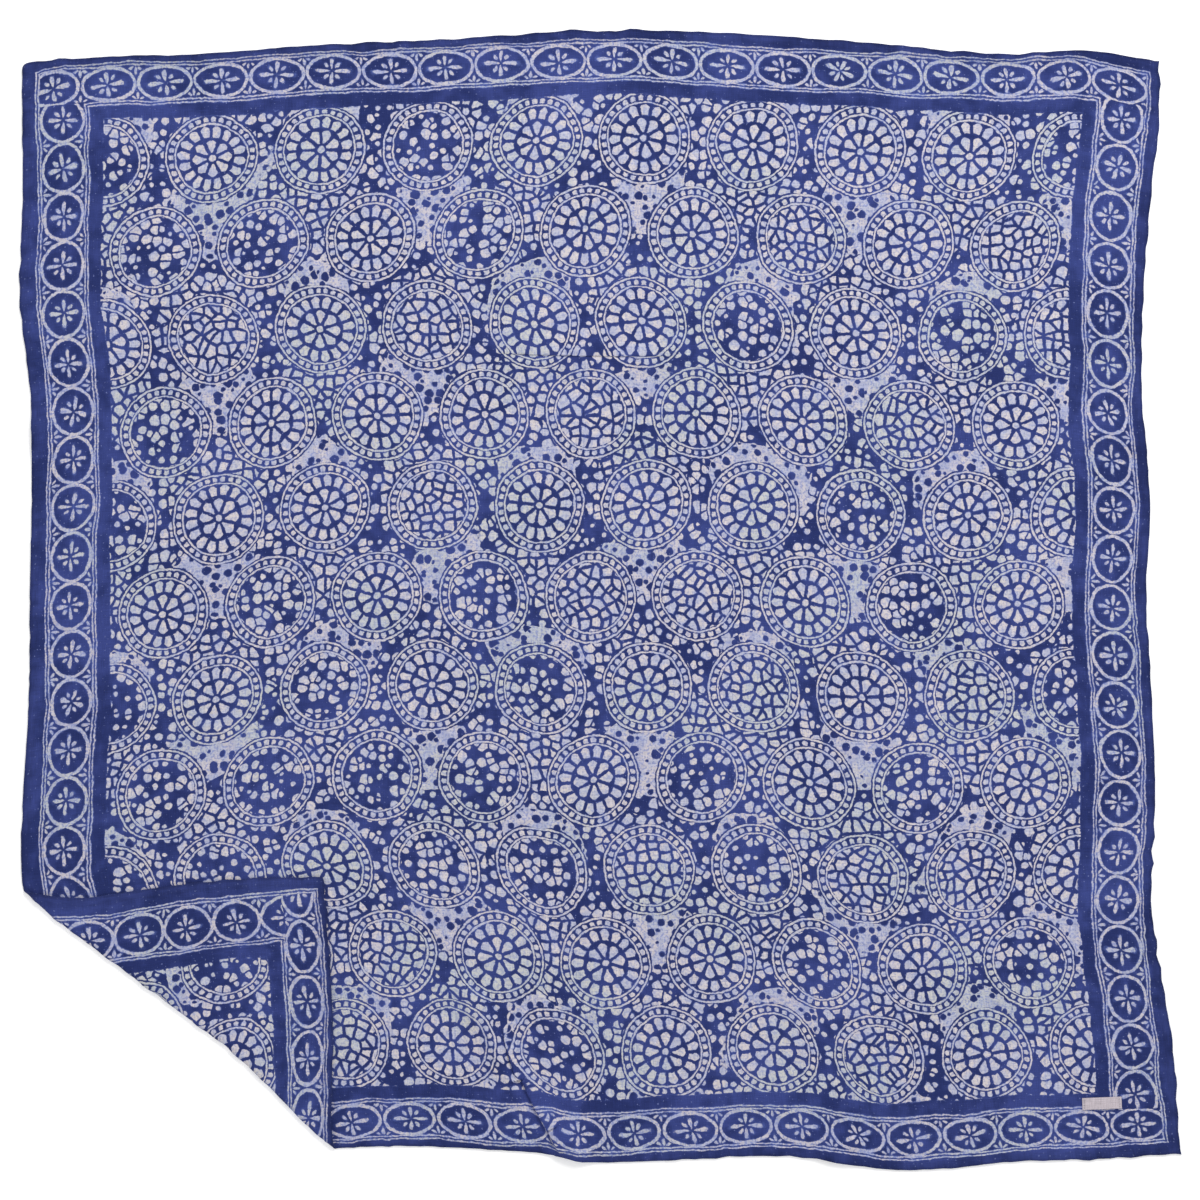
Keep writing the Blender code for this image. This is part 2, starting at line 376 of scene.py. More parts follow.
def lay_out(right, up):
    """Where a place on the cut cloth lies. It is given as shares of the cloth's side."""
    across_top = TOP_LEFT.lerp(TOP_RIGHT, right)
    across_bottom = BOTTOM_LEFT.lerp(BOTTOM_RIGHT, right)
    place = across_bottom.lerp(across_top, up)
    place += outward(TOP_LEFT, TOP_RIGHT) * read_table(TOP_EDGE, right) * up
    place -= outward(BOTTOM_LEFT, BOTTOM_RIGHT) * read_table(BOTTOM_EDGE, right) * (1 - up)
    place += outward(TOP_RIGHT, BOTTOM_RIGHT) * read_table(RIGHT_EDGE, 1 - up) * right
    place -= outward(TOP_LEFT, BOTTOM_LEFT) * read_table(LEFT_EDGE, 1 - up) * (1 - right)
    return place


def beside(place, ends):
    """How a place lies to a line: its share of the line's length, its offset from it, and the line."""
    start = Vector(ends[:2]) * MM
    line = Vector(ends[2:]) * MM - start
    share = (place - start).dot(line) / line.length_squared
    return share, place - start - line * share, line


def crease_height(place):
    """How high the soft creases lift the cloth at a place."""
    height = 0.0
    for *ends, rise, half_width, fade_in, fade_out in CREASES:
        share, away, _ = beside(place, ends)
        if not 0 <= share <= 1:
            continue
        aside = away.length / (half_width * MM)
        strength = min(1.0, share / fade_in if fade_in else 1.0)
        strength = min(strength, (1 - share) / fade_out if fade_out else 1.0)
        strength = strength * strength * (3 - 2 * strength)
        height = max(height, rise * MM * strength * math.exp(-aside * aside))
    return height


def past_fold(place):
    """How far a place lies beyond the fold line, towards the folded corner."""
    return -outward(FOLD_START, FOLD_END).dot(place - FOLD_START) + FOLD_RADIUS


def wander(place):
    """The fold's own waviness, which both of its layers share."""
    along = (place - FOLD_START).dot((FOLD_END - FOLD_START).normalized())
    aside = past_fold(place) / FOLD_WAVE_REACH
    first, last = FOLD_WAVES[0][0] * MM, FOLD_WAVES[-1][0] * MM
    if not first < along < last:
        return place
    bumps = noise.noise(Vector((along / FOLD_BUMP_PITCH, 0.0, 7.0))) * FOLD_BUMP
    outwards = -outward(FOLD_START, FOLD_END) * (read_table(FOLD_WAVES, along / MM) + bumps)
    return place + outwards * math.exp(-aside * aside)


def pinched(place, height):
    """A place and its height, where a narrow valley is pinched into a crease and its steep rim leans over."""
    for *ends, depth, half_width in PINCHES:
        share, away, line = beside(place, ends)
        if not 0 <= share <= 1:
            continue
        gentle = away.dot(outward(Vector((0, 0)), line)) < 0
        aside = away.length / (half_width * MM * (PINCH_FLANK if gentle else 1))
        strength = math.sin(math.pi * share) ** 0.5
        cut = depth * MM * strength * math.exp(-aside * aside)
        height = max(height - cut, height * PINCH_FLOOR)
        if gentle:
            return place, height
        rim = math.exp(-(((aside - PINCH_RIM) / PINCH_RIM_WIDTH) ** 2))
        return place - away.normalized() * strength * rim * PINCH_LEAN * half_width * MM, height
    return place, height


def refine_pinches(piece):
    """Finer faces round the pinched creases, so that they can be sharp."""
    bpy.ops.object.mode_set(mode="EDIT")
    bpy.ops.mesh.select_mode(type="FACE")
    bpy.ops.mesh.select_all(action="DESELECT")
    bpy.ops.object.mode_set(mode="OBJECT")
    for face in piece.data.polygons:
        for *ends, _, _ in PINCHES:
            share, away, line = beside(Vector(face.center[:2]), ends)
            past_end = share - min(max(share, 0), 1)
            if (away + line * past_end).length < PINCH_REACH:
                face.select = True
    bpy.ops.object.mode_set(mode="EDIT")
    bpy.ops.mesh.subdivide(number_cuts=PINCH_CUTS, quadcorner="INNERVERT")
    bpy.ops.mesh.select_mode(type="VERT")
    bpy.ops.object.mode_set(mode="OBJECT")


def to_edge(right, up):
    """How far a place on the cut cloth is from its nearest edge."""
    return min(right, 1 - right, up, 1 - up) * CUT_SIDE


def hem_share(right, up):
    """1 within the hem and 0 inside it, with a short step between."""
    return min(max((HEM_WIDTH - to_edge(right, up)) / HEM_STEP + 1, 0.0), 1.0)


def unevenness(place, right, up):
    """Slight swells over the cloth, and the hem's puckers."""
    swell = noise.noise(Vector((place.x, place.y, 0.0)) / RUMPLE_SIZE)
    swell = max(0.0, swell + RUMPLE_SHARE) * RUMPLE_HEIGHT
    edge = math.exp(-to_edge(right, up) / PUCKER_REACH)
    pucker = noise.noise(Vector((place.x, place.y, 5.0 * MM)) / PUCKER_PITCH)
    return swell + max(0.0, pucker) * PUCKER_HEIGHT * edge


def ripple(right, up):
    """Small steps in and out of the hem, and the corners as the hem's turning has drawn them."""
    flat = Vector((right, up, 0.0)) * CUT_SIDE / PUCKER_PITCH
    lively = RIPPLE_CALM + RIPPLE_LIVELY * max(0.0, noise.noise(flat / RIPPLE_PATCH))
    edge = math.exp(-to_edge(right, up) / PUCKER_REACH) * EDGE_RIPPLE * lively
    step = Vector((noise.noise(flat), noise.noise(flat + Vector((40, 0, 0))))) * edge
    corner = Vector((round(right) - right, round(up) - up))
    pull = CORNER_PULLS[round(right), round(up)]
    near = math.exp(-corner.length * CUT_SIDE / CORNER_REACH) * pull
    return step - Vector((round(right) - 0.5, round(up) - 0.5)) * 2 * near


def drape(right, up):
    """Where a place on the middle of the cloth's thickness lies, with the corner folded over."""
    laid = lay_out(right, up) + ripple(right, up)
    outwards = -outward(FOLD_START, FOLD_END)
    past = past_fold(laid)
    turn = past / FOLD_RADIUS
    hem = hem_share(right, up)
    low = (CLOTH_THICKNESS + hem * (HEM_THICKNESS - CLOTH_THICKNESS)) / 2
    if past <= 0:
        place = wander(laid)
        calm = 1 - math.exp(-((past / FOLD_PUFF_REACH) ** 2))
        place, lift = pinched(place, crease_height(place))
        lift += unevenness(place, right, up) * calm
        return Vector((place.x, place.y, low + lift))
    if turn < math.pi:
        place = wander(laid + outwards * (FOLD_RADIUS * math.sin(turn) - past))
        return Vector((place.x, place.y, low + FOLD_RADIUS * (1 - math.cos(turn))))
    inward = past - math.pi * FOLD_RADIUS
    place = wander(laid - outwards * (past + inward))
    closed = CLOTH_THICKNESS + FLAP_GAP + RUMPLE_HEIGHT
    puff = (2 * FOLD_RADIUS - closed) * math.exp(-((inward / FOLD_PUFF_REACH) ** 2))
    lift = closed + puff + crease_height(place)
    lift += unevenness(place, right, up) * FLAP_RUMPLE
    return Vector((place.x, place.y, low + lift))


def printed_at(right, up):
    """Where a place on the cut cloth lies on the print, in metres from the frame's lower left corner."""
    left = read_table(LEFT_MARGIN, up)
    bottom = read_table(BOTTOM_MARGIN, right)
    across = CUT_SIDE - left - read_table(RIGHT_MARGIN, up)
    height = CUT_SIDE - bottom - read_table(TOP_MARGIN, right)
    x = (right * CUT_SIDE - left) / across * PRINT_WIDTH * MM
    y = (up * CUT_SIDE - bottom) / height * PRINT_HEIGHT * MM
    return x, y


def grid_line(number):
    """The share of the cloth's side at which a grid line lies, with lines at the hem's step."""
    near = (0.0, HEM_RIM, HEM_WIDTH / 2, HEM_WIDTH, HEM_WIDTH + HEM_STEP)
    if number > GRID_CELLS / 2:
        return 1 - grid_line(GRID_CELLS - number)
    if number < len(near):
        return near[number] / CUT_SIDE
    start = near[-1] / CUT_SIDE
    return start + (0.5 - start) * (number + 1 - len(near)) / (GRID_CELLS / 2 + 1 - len(near))


def deselect_all():
    """Leaves edit mode, with nothing selected."""
    if bpy.context.object and bpy.context.object.mode != "OBJECT":
        bpy.ops.object.mode_set(mode="OBJECT")
    bpy.ops.object.select_all(action="DESELECT")


def apply_modifiers(piece):
    """Applies a piece's modifiers in their order, and leaves the piece active."""
    deselect_all()
    piece.select_set(True)
    bpy.context.view_layer.objects.active = piece
    for modifier in list(piece.modifiers):
        bpy.ops.object.modifier_apply(modifier=modifier.name)


def cut_fold_rows(piece):
    """Rows of edges along the fold, cut while the cloth is laid out flat."""
    outwards = -outward(FOLD_START, FOLD_END)
    bpy.ops.object.mode_set(mode="EDIT")
    for step in range(FOLD_STEPS + 1):
        past = math.pi * FOLD_RADIUS * step / FOLD_STEPS - FOLD_RADIUS
        row = FOLD_START + outwards * past
        bpy.ops.mesh.select_all(action="SELECT")
        bpy.ops.mesh.bisect(
            plane_co=(row.x, row.y, 0),
            plane_no=(outwards.x, outwards.y, 0),
            threshold=0.04 * MM,
        )
    bpy.ops.object.mode_set(mode="OBJECT")


def add_bandana():
    """The cloth: a grid over the cut square, cut along the fold, draped and given its thickness."""
    deselect_all()
    bpy.ops.mesh.primitive_grid_add(
        x_subdivisions=GRID_CELLS, y_subdivisions=GRID_CELLS, size=1, location=(0, 0, 0)
    )
    piece = bpy.context.object
    piece.name = "bandana"
    mesh = piece.data
    # This map covers the cut square once. Both faces of the cloth share it.
    cut_map = mesh.uv_layers[0]
    cut_map.name = "OFBake"
    shares = []
    for vertex in mesh.vertices:
        right = grid_line(round((vertex.co.x + 0.5) * GRID_CELLS))
        up = grid_line(round((vertex.co.y + 0.5) * GRID_CELLS))
        shares.append((right, up))
        laid = lay_out(right, up)
        vertex.co = (laid.x, laid.y, 0)
    for loop in mesh.loops:
        cut_map.data[loop.index].uv = shares[loop.vertex_index]
    refine_pinches(piece)
    cut_fold_rows(piece)

    cut_map = mesh.uv_layers["OFBake"]
    print_map = mesh.uv_layers.new(name="print")
    hem = piece.vertex_groups.new(name="hem")
    flat = {}
    for loop in mesh.loops:
        flat[loop.vertex_index] = tuple(min(max(s, 0.0), 1.0) for s in cut_map.data[loop.index].uv)
    printed = {number: printed_at(*place) for number, place in flat.items()}
    for loop in mesh.loops:
        print_map.data[loop.index].uv = printed[loop.vertex_index]
    for number, place in flat.items():
        mesh.vertices[number].co = drape(*place)
        hem.add([number], hem_share(*place), "REPLACE")

    thickness = piece.modifiers.new("Thickness", "SOLIDIFY")
    thickness.thickness = HEM_THICKNESS
    thickness.offset = 0
    thickness.vertex_group = "hem"
    thickness.thickness_vertex_group = CLOTH_THICKNESS / HEM_THICKNESS
    apply_modifiers(piece)
    bpy.ops.object.shade_smooth_by_angle(angle=math.radians(60))
    return piece


def seat_on_frame(piece):
    """Moves the draped cloth so that its box has the middle of its CAD node's box."""
    low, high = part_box("cloth")
    xs, ys, zs = zip(*(vertex.co for vertex in piece.data.vertices))
    shift = Vector((
        (low[0] + high[0] - min(xs) - max(xs)) / 2,
        (low[1] + high[1] - min(ys) - max(ys)) / 2,
        low[2] - min(zs),
    ))
    for vertex in piece.data.vertices:
        vertex.co += shift
    return shift


class Wire:
    """A number that changes over the surface. Sums of wires become math nodes."""

    def __init__(self, tree, socket):
        self.tree = tree
        self.socket = socket

    def math(self, operation, *others):
        node = self.tree.nodes.new("ShaderNodeMath")
        node.operation = operation
        for place, given in enumerate((self, *others)):
            if isinstance(given, Wire):
                self.tree.links.new(given.socket, node.inputs[place])
            else:
                node.inputs[place].default_value = given
        return Wire(self.tree, node.outputs[0])

    def __add__(self, other):
        return self.math("ADD", other)

    def __radd__(self, other):
        return self.math("ADD", other)

    def __sub__(self, other):
        return self.math("SUBTRACT", other)

    def __rsub__(self, other):
        return self.math("MULTIPLY_ADD", -1.0, other)

    def __mul__(self, other):
        return self.math("MULTIPLY", other)

    def __truediv__(self, other):
        return self.math("DIVIDE", other)

    def __neg__(self):
        return self.math("MULTIPLY", -1.0)

    def __abs__(self):
        return self.math("ABSOLUTE")

    def floor(self):
        return self.math("FLOOR")

    def above(self, other):
        return self.math("GREATER_THAN", other)

    def smaller(self, other):
        return self.math("MINIMUM", other)

    def larger(self, other):
        return self.math("MAXIMUM", other)

    def between(self, low, high):
        """0 below low and 1 above high, with a soft step between."""
        node = self.tree.nodes.new("ShaderNodeMapRange")
        node.interpolation_type = "SMOOTHSTEP"
        self.tree.links.new(self.socket, node.inputs["Value"])
        node.inputs["From Min"].default_value = low
        node.inputs["From Max"].default_value = high
        return Wire(self.tree, node.outputs["Result"])

    def pick(self, when_zero, when_one):
        """when_zero where this wire is 0 and when_one where it is 1."""
        if isinstance(when_zero, Wire) or isinstance(when_one, Wire):
            return (when_one - when_zero) * self + when_zero
        return self.math("MULTIPLY_ADD", when_one - when_zero, when_zero)


def length(a, b):
    """The length of the flat vector (a, b)."""
    return (a * a + b * b).math("SQRT")


class Recipe:
    """A node group being written: its named inputs and outputs, and the textures that it uses."""

    def __init__(self, name, inputs, outputs):
        self.tree = bpy.data.node_groups.new(name, "ShaderNodeTree")
        for words in inputs:
            kind = "NodeSocketVector" if words == "Place" else "NodeSocketFloat"
            self.tree.interface.new_socket(words, in_out="INPUT", socket_type=kind)
        for words in outputs:
            kind = "NodeSocketColor" if words.endswith("Colour") else "NodeSocketFloat"
            self.tree.interface.new_socket(words, in_out="OUTPUT", socket_type=kind)
        self.entry = self.tree.nodes.new("NodeGroupInput")
        self.exit = self.tree.nodes.new("NodeGroupOutput")

    def wire(self, words):
        return Wire(self.tree, self.entry.outputs[words])

    def place(self):
        """The two coordinates of the Place input."""
        split = self.tree.nodes.new("ShaderNodeSeparateXYZ")
        self.tree.links.new(self.entry.outputs["Place"], split.inputs[0])
        return Wire(self.tree, split.outputs[0]), Wire(self.tree, split.outputs[1])

    def joined(self, x, y):
        join = self.tree.nodes.new("ShaderNodeCombineXYZ")
        for socket, given in zip(join.inputs, (x, y)):
            self.tree.links.new(given.socket, socket)
        return join.outputs[0]

    def noise(self, place, size, detail=1.0):
        """Soft noise with spots of about this size. It gives three wires from 0 to 1."""
        node = self.tree.nodes.new("ShaderNodeTexNoise")
        node.noise_dimensions = "2D"
        node.inputs["Scale"].default_value = 1 / size
        node.inputs["Detail"].default_value = detail
        self.tree.links.new(place, node.inputs["Vector"])
        split = self.tree.nodes.new("ShaderNodeSeparateColor")
        self.tree.links.new(node.outputs["Color"], split.inputs[0])
        return [Wire(self.tree, socket) for socket in split.outputs]

    def cells(self, place, size, feature="F1"):
        """A scatter of points, one to each cell of this size: the distance and three numbers a cell."""
        node = self.tree.nodes.new("ShaderNodeTexVoronoi")
        node.voronoi_dimensions = "2D"
        node.feature = feature
        node.inputs["Scale"].default_value = 1 / size
        node.inputs["Randomness"].default_value = CELL_UNEVENNESS
        self.tree.links.new(place, node.inputs["Vector"])
        distance = Wire(self.tree, node.outputs["Distance"]) * size
        if feature == "DISTANCE_TO_EDGE":
            return distance, []
        split = self.tree.nodes.new("ShaderNodeSeparateColor")
        self.tree.links.new(node.outputs["Color"], split.inputs[0])
        return distance, [Wire(self.tree, socket) for socket in split.outputs]

    def chance(self, x, y):
        """Three numbers from 0 to 1 that belong to a whole-number pair."""
        node = self.tree.nodes.new("ShaderNodeTexWhiteNoise")
        node.noise_dimensions = "2D"
        self.tree.links.new(self.joined(x, y), node.inputs["Vector"])
        split = self.tree.nodes.new("ShaderNodeSeparateColor")
        self.tree.links.new(node.outputs["Color"], split.inputs[0])
        return [Wire(self.tree, socket) for socket in split.outputs]

    def give(self, words, wire):
        self.tree.links.new(wire.socket if isinstance(wire, Wire) else wire, self.exit.inputs[words])


def leaf(x, y, centre, half_length, half_width):
    """How far inside an oval leaf a place is, in millimetres. It lies along x about its centre."""
    return (1 - length((x - centre) / half_length, y / half_width)) * half_width


def oval_chain_group():
    """A chain of ovals, each with an eight-petalled flower, and sprigs between them."""
    names = (
        "Along", "Across", "Pitch", "Half length", "Half height", "Half band", "Petal along", "Petal across",
    )
    recipe = Recipe("Oval chain", names, ("Inside",))
    along, across, pitch, half_length, half_height, half_band, petal_along, petal_across = (
        recipe.wire(words) for words in names
    )
    number = (along / pitch).floor()
    x = along - (number + 0.5) * pitch
    sideways, upwards, smudge = recipe.chance(number, half_band)
    ring_x, ring_y = x / half_length, across / half_height
    reach = length(ring_x, ring_y)
    slope = length(ring_x / half_length, ring_y / half_height)
    outside = (reach - 1) * reach / slope
    ring = OVAL_RING[1] - abs(outside - OVAL_RING[0])

    # Sprigs of three leaves in the corners between ovals
    from_joint = pitch / 2 - abs(x)
    from_line = half_band - abs(across)
    middle_leaf = leaf(from_line, from_joint, *MIDDLE_LEAF)
    leaf_x, leaf_y = from_joint - SIDE_LEAF_PLACE[0], from_line - SIDE_LEAF_PLACE[1]
    side_x = leaf_x * SIDE_LEAF_TURN[0] + leaf_y * SIDE_LEAF_TURN[1]
    side_y = leaf_y * SIDE_LEAF_TURN[0] - leaf_x * SIDE_LEAF_TURN[1]
    side_leaf = leaf(side_y * SIDE_LEAF_SLANT + side_x, side_y, *SIDE_LEAF)
    sprig = middle_leaf.larger(side_leaf).smaller(outside - SPRIG_GAP)

    # The flower leans a little, another way in each oval. Some stampings are twisted and run together.
    twist = smudge.above(1 - TWISTED_SHARE)
    lean = (sideways - 0.5) * (twist * TWISTED_LEAN + FLOWER_LEAN)
    flower_x = x + across * lean + (upwards - 0.5) * FLOWER_SHIFT[0]
    flower_y = across - x * lean + (sideways - 0.5) * FLOWER_SHIFT[1]
    right, up = abs(flower_x), abs(flower_y)
    fat = PETAL_WIDTH + twist * TWISTED_WIDTH

    def large_petal(outwards, aside, reach, broadening, middle, half_length):
        """A petal that is pointed at the flower's middle and broad at its outer end."""
        aside = aside * (PETAL_POINT - outwards * broadening)
        return leaf(outwards, aside, reach * middle, reach * half_length, fat)

    long_petal = large_petal(right, up, petal_along, *LONG_PETAL)
    tall_petal = large_petal(up, right, petal_across, *TALL_PETAL)
    slanted, beside_slant = (right + up) * DIAGONAL, (right - up) * DIAGONAL
    small_petal = leaf(slanted, beside_slant, SMALL_PETAL[0] + smudge * SMALL_PETAL[1], *SMALL_PETAL_SIZE)
    flower = long_petal.larger(tall_petal).larger(small_petal)
    recipe.give("Inside", ring.larger(sprig).larger(flower))
    return recipe.tree


def petal_ring(turn, radius, petals, inner, outer, line, crown):
    """How far inside a ring of petals a place is, in millimetres. A thin line parts the petals, and their
    outer ends are rounded by the crown. The turn is a share of the full circle."""
    aside = abs((turn * petals).math("FRACT") - 0.5) * radius * (2 * math.pi / petals)
    room = radius * (math.pi / petals) - line
    return (room - aside).smaller(radius - inner).smaller(outer - radius - aside * aside * crown)


def field_group():
    """An all-over print of flower roundels in staggered rows, with dots and shards between them."""
    recipe = Recipe("Field print", ("Place",), ("Inside", "Stain"))
    x, y = recipe.place()
    row = (y / ROUNDEL_ROWS + 0.5).floor()
    shifted = x + row * (ROUNDEL_COLUMNS / 2)
    column = (shifted / ROUNDEL_COLUMNS + 0.5).floor()
    local_x = shifted - column * ROUNDEL_COLUMNS
    local_y = y - row * ROUNDEL_ROWS
    radius = length(local_x, local_y)
    first, second, third = recipe.chance(column, row)

    # A flower of eight petals inside a flower of sixteen, with a ring of beads round them
    turn = local_y.math("ARCTAN2", local_x) * (0.5 / math.pi) + first / 8 + 1
    petals, outer_petals = (petal_ring(turn, radius, *ring) for ring in FLOWER_RINGS)
    beads = petal_ring(turn, radius, *BEAD_RING)
    flower = petals.larger(outer_petals).larger(FLOWER_EYE - radius)

    # Round dots of many sizes, and shards with thin lines between them
    grid = recipe.joined(x, y)
    distance, numbers = recipe.cells(grid, CELL)
    edges, _ = recipe.cells(grid, CELL, "DISTANCE_TO_EDGE")
    size = DOT[0] + numbers[0] * DOT[1]
    dots = (size - distance).smaller(edges - DOT_GAP)
    shards = edges - SHARD_GAP
    along_rows = (x * (math.pi / ROUNDEL_COLUMNS)).math("SINE")
    up_columns = (y * (math.pi / ROUNDEL_ROWS) + PATCH_START).math("SINE")
    wave = along_rows * up_columns + (recipe.noise(grid, PATCH_NOISE[1], 0.0)[0] - 0.5) * PATCH_NOISE[0]
    turned = wave.between(*TURNED_PATCH)
    outside = radius.above(ROUNDEL_REACH)
    shattered = outside.pick(third.above(DOT_DISCS), wave.math("LESS_THAN", SHARD_PATCH))
    scatter = shattered.pick(dots, shards)
    spread = turned.pick(scatter, distance - size * TURNED_DOT).smaller(radius - SPREAD_START)
    disc = second.above(FLOWERS).pick(flower, scatter.smaller(DISC_RADIUS - radius))
    inner_line, outer_line = (half - abs(radius - middle) for middle, half in ROUNDEL_LINES)
    lines = inner_line.larger(outer_line)
    recipe.give("Inside", outside.pick(disc.larger(beads).larger(lines), spread))
    recipe.give("Stain", turned * outside * TURNED_STAIN)
    return recipe.tree


def print_group(chain, field):
    """The whole print: frame stripes, oval chain, plain band and field. It gives how far inside the
    white a place is, in millimetres, and where the dye has strayed."""
    recipe = Recipe("Batik print", ("Place",), ("Inside", "Stain"))
    raw_x, raw_y = recipe.place()
    sway = recipe.noise(recipe.joined(raw_x, raw_y), HAND_SWAY[1])
    shake = recipe.noise(recipe.joined(raw_x, raw_y), HAND_SHAKE[1])
    x = raw_x + (sway[0] - 0.5) * HAND_SWAY[0] + (shake[0] - 0.5) * HAND_SHAKE[0]
    y = raw_y + (sway[1] - 0.5) * HAND_SWAY[0] + (shake[1] - 0.5) * HAND_SHAKE[0]
    from_side = x.smaller(PRINT_WIDTH - x)
    from_row = y.smaller(PRINT_HEIGHT - y)
    inwards = from_side.smaller(from_row)
    outwards = (SIDE_BAND - from_side).larger(ROW_BAND - from_row)

    def stripes(away):
        """The two thin lines of a stripe."""
        first, second = (half - abs(away - middle) for middle, half in STRIPE)
        return first.larger(second)

    lines = stripes(inwards).larger(stripes(outwards))
    side = (from_row - ROW_END).smaller(SIDE_BAND - from_side).above(0.0)
    is_right = x.above(PRINT_WIDTH / 2)
    is_top = y.above(PRINT_HEIGHT / 2)
    row_pitch = is_top.pick(CHAINS["bottom"][1], CHAINS["top"][1])
    row_start = is_top.pick(*(CHAINS[name][0] - CHAINS[name][1] / 2 for name in ("bottom", "top")))
    side_pitch = is_right.pick(CHAINS["left"][1], CHAINS["right"][1])
    side_start = CHAINS["left"][0] - CHAINS["left"][1] / 2
    ovals = recipe.tree.nodes.new("ShaderNodeGroup")
    ovals.node_tree = chain
    given = {
        "Along": side.pick(x - row_start, PRINT_HEIGHT - side_start - y),
        "Across": side.pick(from_row - ROW_MIDDLE, from_side - SIDE_MIDDLE),
        "Pitch": side.pick(row_pitch, side_pitch),
    }
    given.update({words: side.pick(*sizes) for words, sizes in OVALS.items()})
    for words, wire in given.items():
        recipe.tree.links.new(wire.socket, ovals.inputs[words])
    chain_inside = Wire(recipe.tree, ovals.outputs["Inside"])
    chain_zone = inwards.smaller(outwards) - STRIPE[1][0]

    middle = recipe.tree.nodes.new("ShaderNodeGroup")
    middle.node_tree = field
    centred = recipe.joined(x - PRINT_WIDTH / 2, y - PRINT_HEIGHT / 2)
    recipe.tree.links.new(centred, middle.inputs["Place"])
    field_zone = -outwards - FIELD_MARGIN
    field_inside = Wire(recipe.tree, middle.outputs["Inside"]).smaller(field_zone)
    frame_inside = chain_inside.smaller(chain_zone).larger(lines) - FRAME_THINNING
    inside = frame_inside.larger(field_inside)
    within = inwards.above(0.0)
    recipe.give("Inside", within.pick(-1.0, inside))
    field_stain = Wire(recipe.tree, middle.outputs["Stain"])
    frame_stain = lines.above(-LINE_STAIN_REACH).pick(CHAIN_STAIN, LINE_STAIN)
    recipe.give("Stain", field_zone.above(0.0).pick(frame_stain, field_stain))
    return recipe.tree


def weave_group():
    """Plain weave with uneven threads: a height for bumps, and a shade for the colours."""
    recipe = Recipe("Plain weave", ("Place", "Thread"), ("Height", "Shade"))
    x, y = recipe.place()
    thread = recipe.wire("Thread")
    over = (x / thread * math.pi).math("SINE")
    under = (y / thread * math.pi).math("SINE")
    lengthwise = recipe.noise(recipe.joined(x * SLUBS_ACROSS, y * SLUBS_ALONG), 1.0)[0]
    crosswise = recipe.noise(recipe.joined(x * SLUBS_ALONG, y * SLUBS_ACROSS), 1.0)[0]
    slubs = lengthwise + crosswise - 1.0
    recipe.give("Height", over * under * THREAD_RELIEF + slubs * SLUB_RELIEF)
    recipe.give("Shade", slubs)
    return recipe.tree


def mixed(tree, share, first, second):
    """A colour between two others. Each may be a fixed colour or a socket."""
    node = tree.nodes.new("ShaderNodeMix")
    node.data_type = "RGBA"
    tree.links.new(share.socket, node.inputs["Factor"])
    for place, given in ((6, first), (7, second)):
        if isinstance(given, tuple):
            node.inputs[place].default_value = given
        else:
            tree.links.new(given, node.inputs[place])
    return node.outputs[2]


def dye_group(batik):
    """The dyed cloth's colour from its print: blues with light specks, stained edges and mottled whites. The
    Shade input, which carries the slubs and the painted shade of the hem and its rim, scales it.
    """
    recipe = Recipe("Batik dye", ("Place", "Shade"), ("Cloth Colour", "White"))
    node = recipe.tree.nodes.new("ShaderNodeGroup")
    node.node_tree = batik
    recipe.tree.links.new(recipe.entry.outputs["Place"], node.inputs["Place"])
    inside = Wire(recipe.tree, node.outputs["Inside"])
    stain = Wire(recipe.tree, node.outputs["Stain"])
    shade = recipe.wire("Shade")
    place = recipe.entry.outputs["Place"]
    broad = recipe.noise(place, BROAD_SPOTS)
    patchy = recipe.noise(place, PATCHES)
    grainy = recipe.noise(place, GRAINS)

    edge = inside + (grainy[0] - 0.5) * EDGE_GRAIN + (patchy[2] - 0.5) * EDGE_PATCH
    white = edge.between(*WHITE_EDGE)
    fringe = patchy[0].between(*HALO_PATCHES) * HALO_PATCH_FRINGE
    fringe = fringe + stain.between(*HALO_STAIN) * HALO_FRINGE[1] + HALO_FRINGE[0]
    halo = edge.between(*HALO_EDGE) * fringe
    strayed = (stain * STRAYED_SHARE[1] + STRAYED_SHARE[0]) * grainy[1].between(*STRAYED_GRAINS)
    pooled = (stain * POOLED_SHARE[1] + POOLED_SHARE[0]) * patchy[1].between(*POOLED_PATCHES)
    washed = (broad[0] * WASHED_BROADLY + patchy[1] * (1 - WASHED_BROADLY)).between(*WASHED_PATCHES)
    blue = mixed(recipe.tree, washed, DEEP_BLUE, WASHED_BLUE)
    blue = mixed(recipe.tree, halo * HALO_SHARE, blue, HALO_BLUE)
    blue = mixed(recipe.tree, grainy[2].between(*SPECKS) * SPECK_SHARE, blue, STAIN_BLUE)
    pale = mixed(recipe.tree, patchy[0].between(*COOL_PATCHES), WARM_WHITE, COOL_WHITE)
    pale = mixed(recipe.tree, broad[2].between(*GREEN_SPOTS) * GREEN_SHARE, pale, GREEN_WHITE)
    pale = mixed(recipe.tree, strayed.larger(pooled).larger(stain * VEIL_SHARE), pale, STAIN_BLUE)
    colour = mixed(recipe.tree, white, blue, pale)
    # The Shade input, the slubs less the painted shade of the hem and its rim, scales the colour
    scale = recipe.tree.nodes.new("ShaderNodeVectorMath")
    scale.operation = "SCALE"
    recipe.tree.links.new(colour, scale.inputs[0])
    recipe.tree.links.new((shade * SLUB_AND_PAINTED_SHADE_STRENGTH + 1.0).socket, scale.inputs["Scale"])
    recipe.give("Cloth Colour", scale.outputs[0])
    recipe.give("White", white)
    return recipe.tree


def blank_material(name):
    """A new material with its shader and its node tree."""
    material = bpy.data.materials.new(name)
    material.use_nodes = True
    shader = material.node_tree.nodes["Principled BSDF"]
    return material, material.node_tree, shader


def placed_group(tree, group, place, **given):
    """A node group set in a material, fed with a place in millimetres."""
    node = tree.nodes.new("ShaderNodeGroup")
    node.node_tree = group
    tree.links.new(place, node.inputs["Place"])
    for words, value in given.items():
        node.inputs[words].default_value = value
    return node


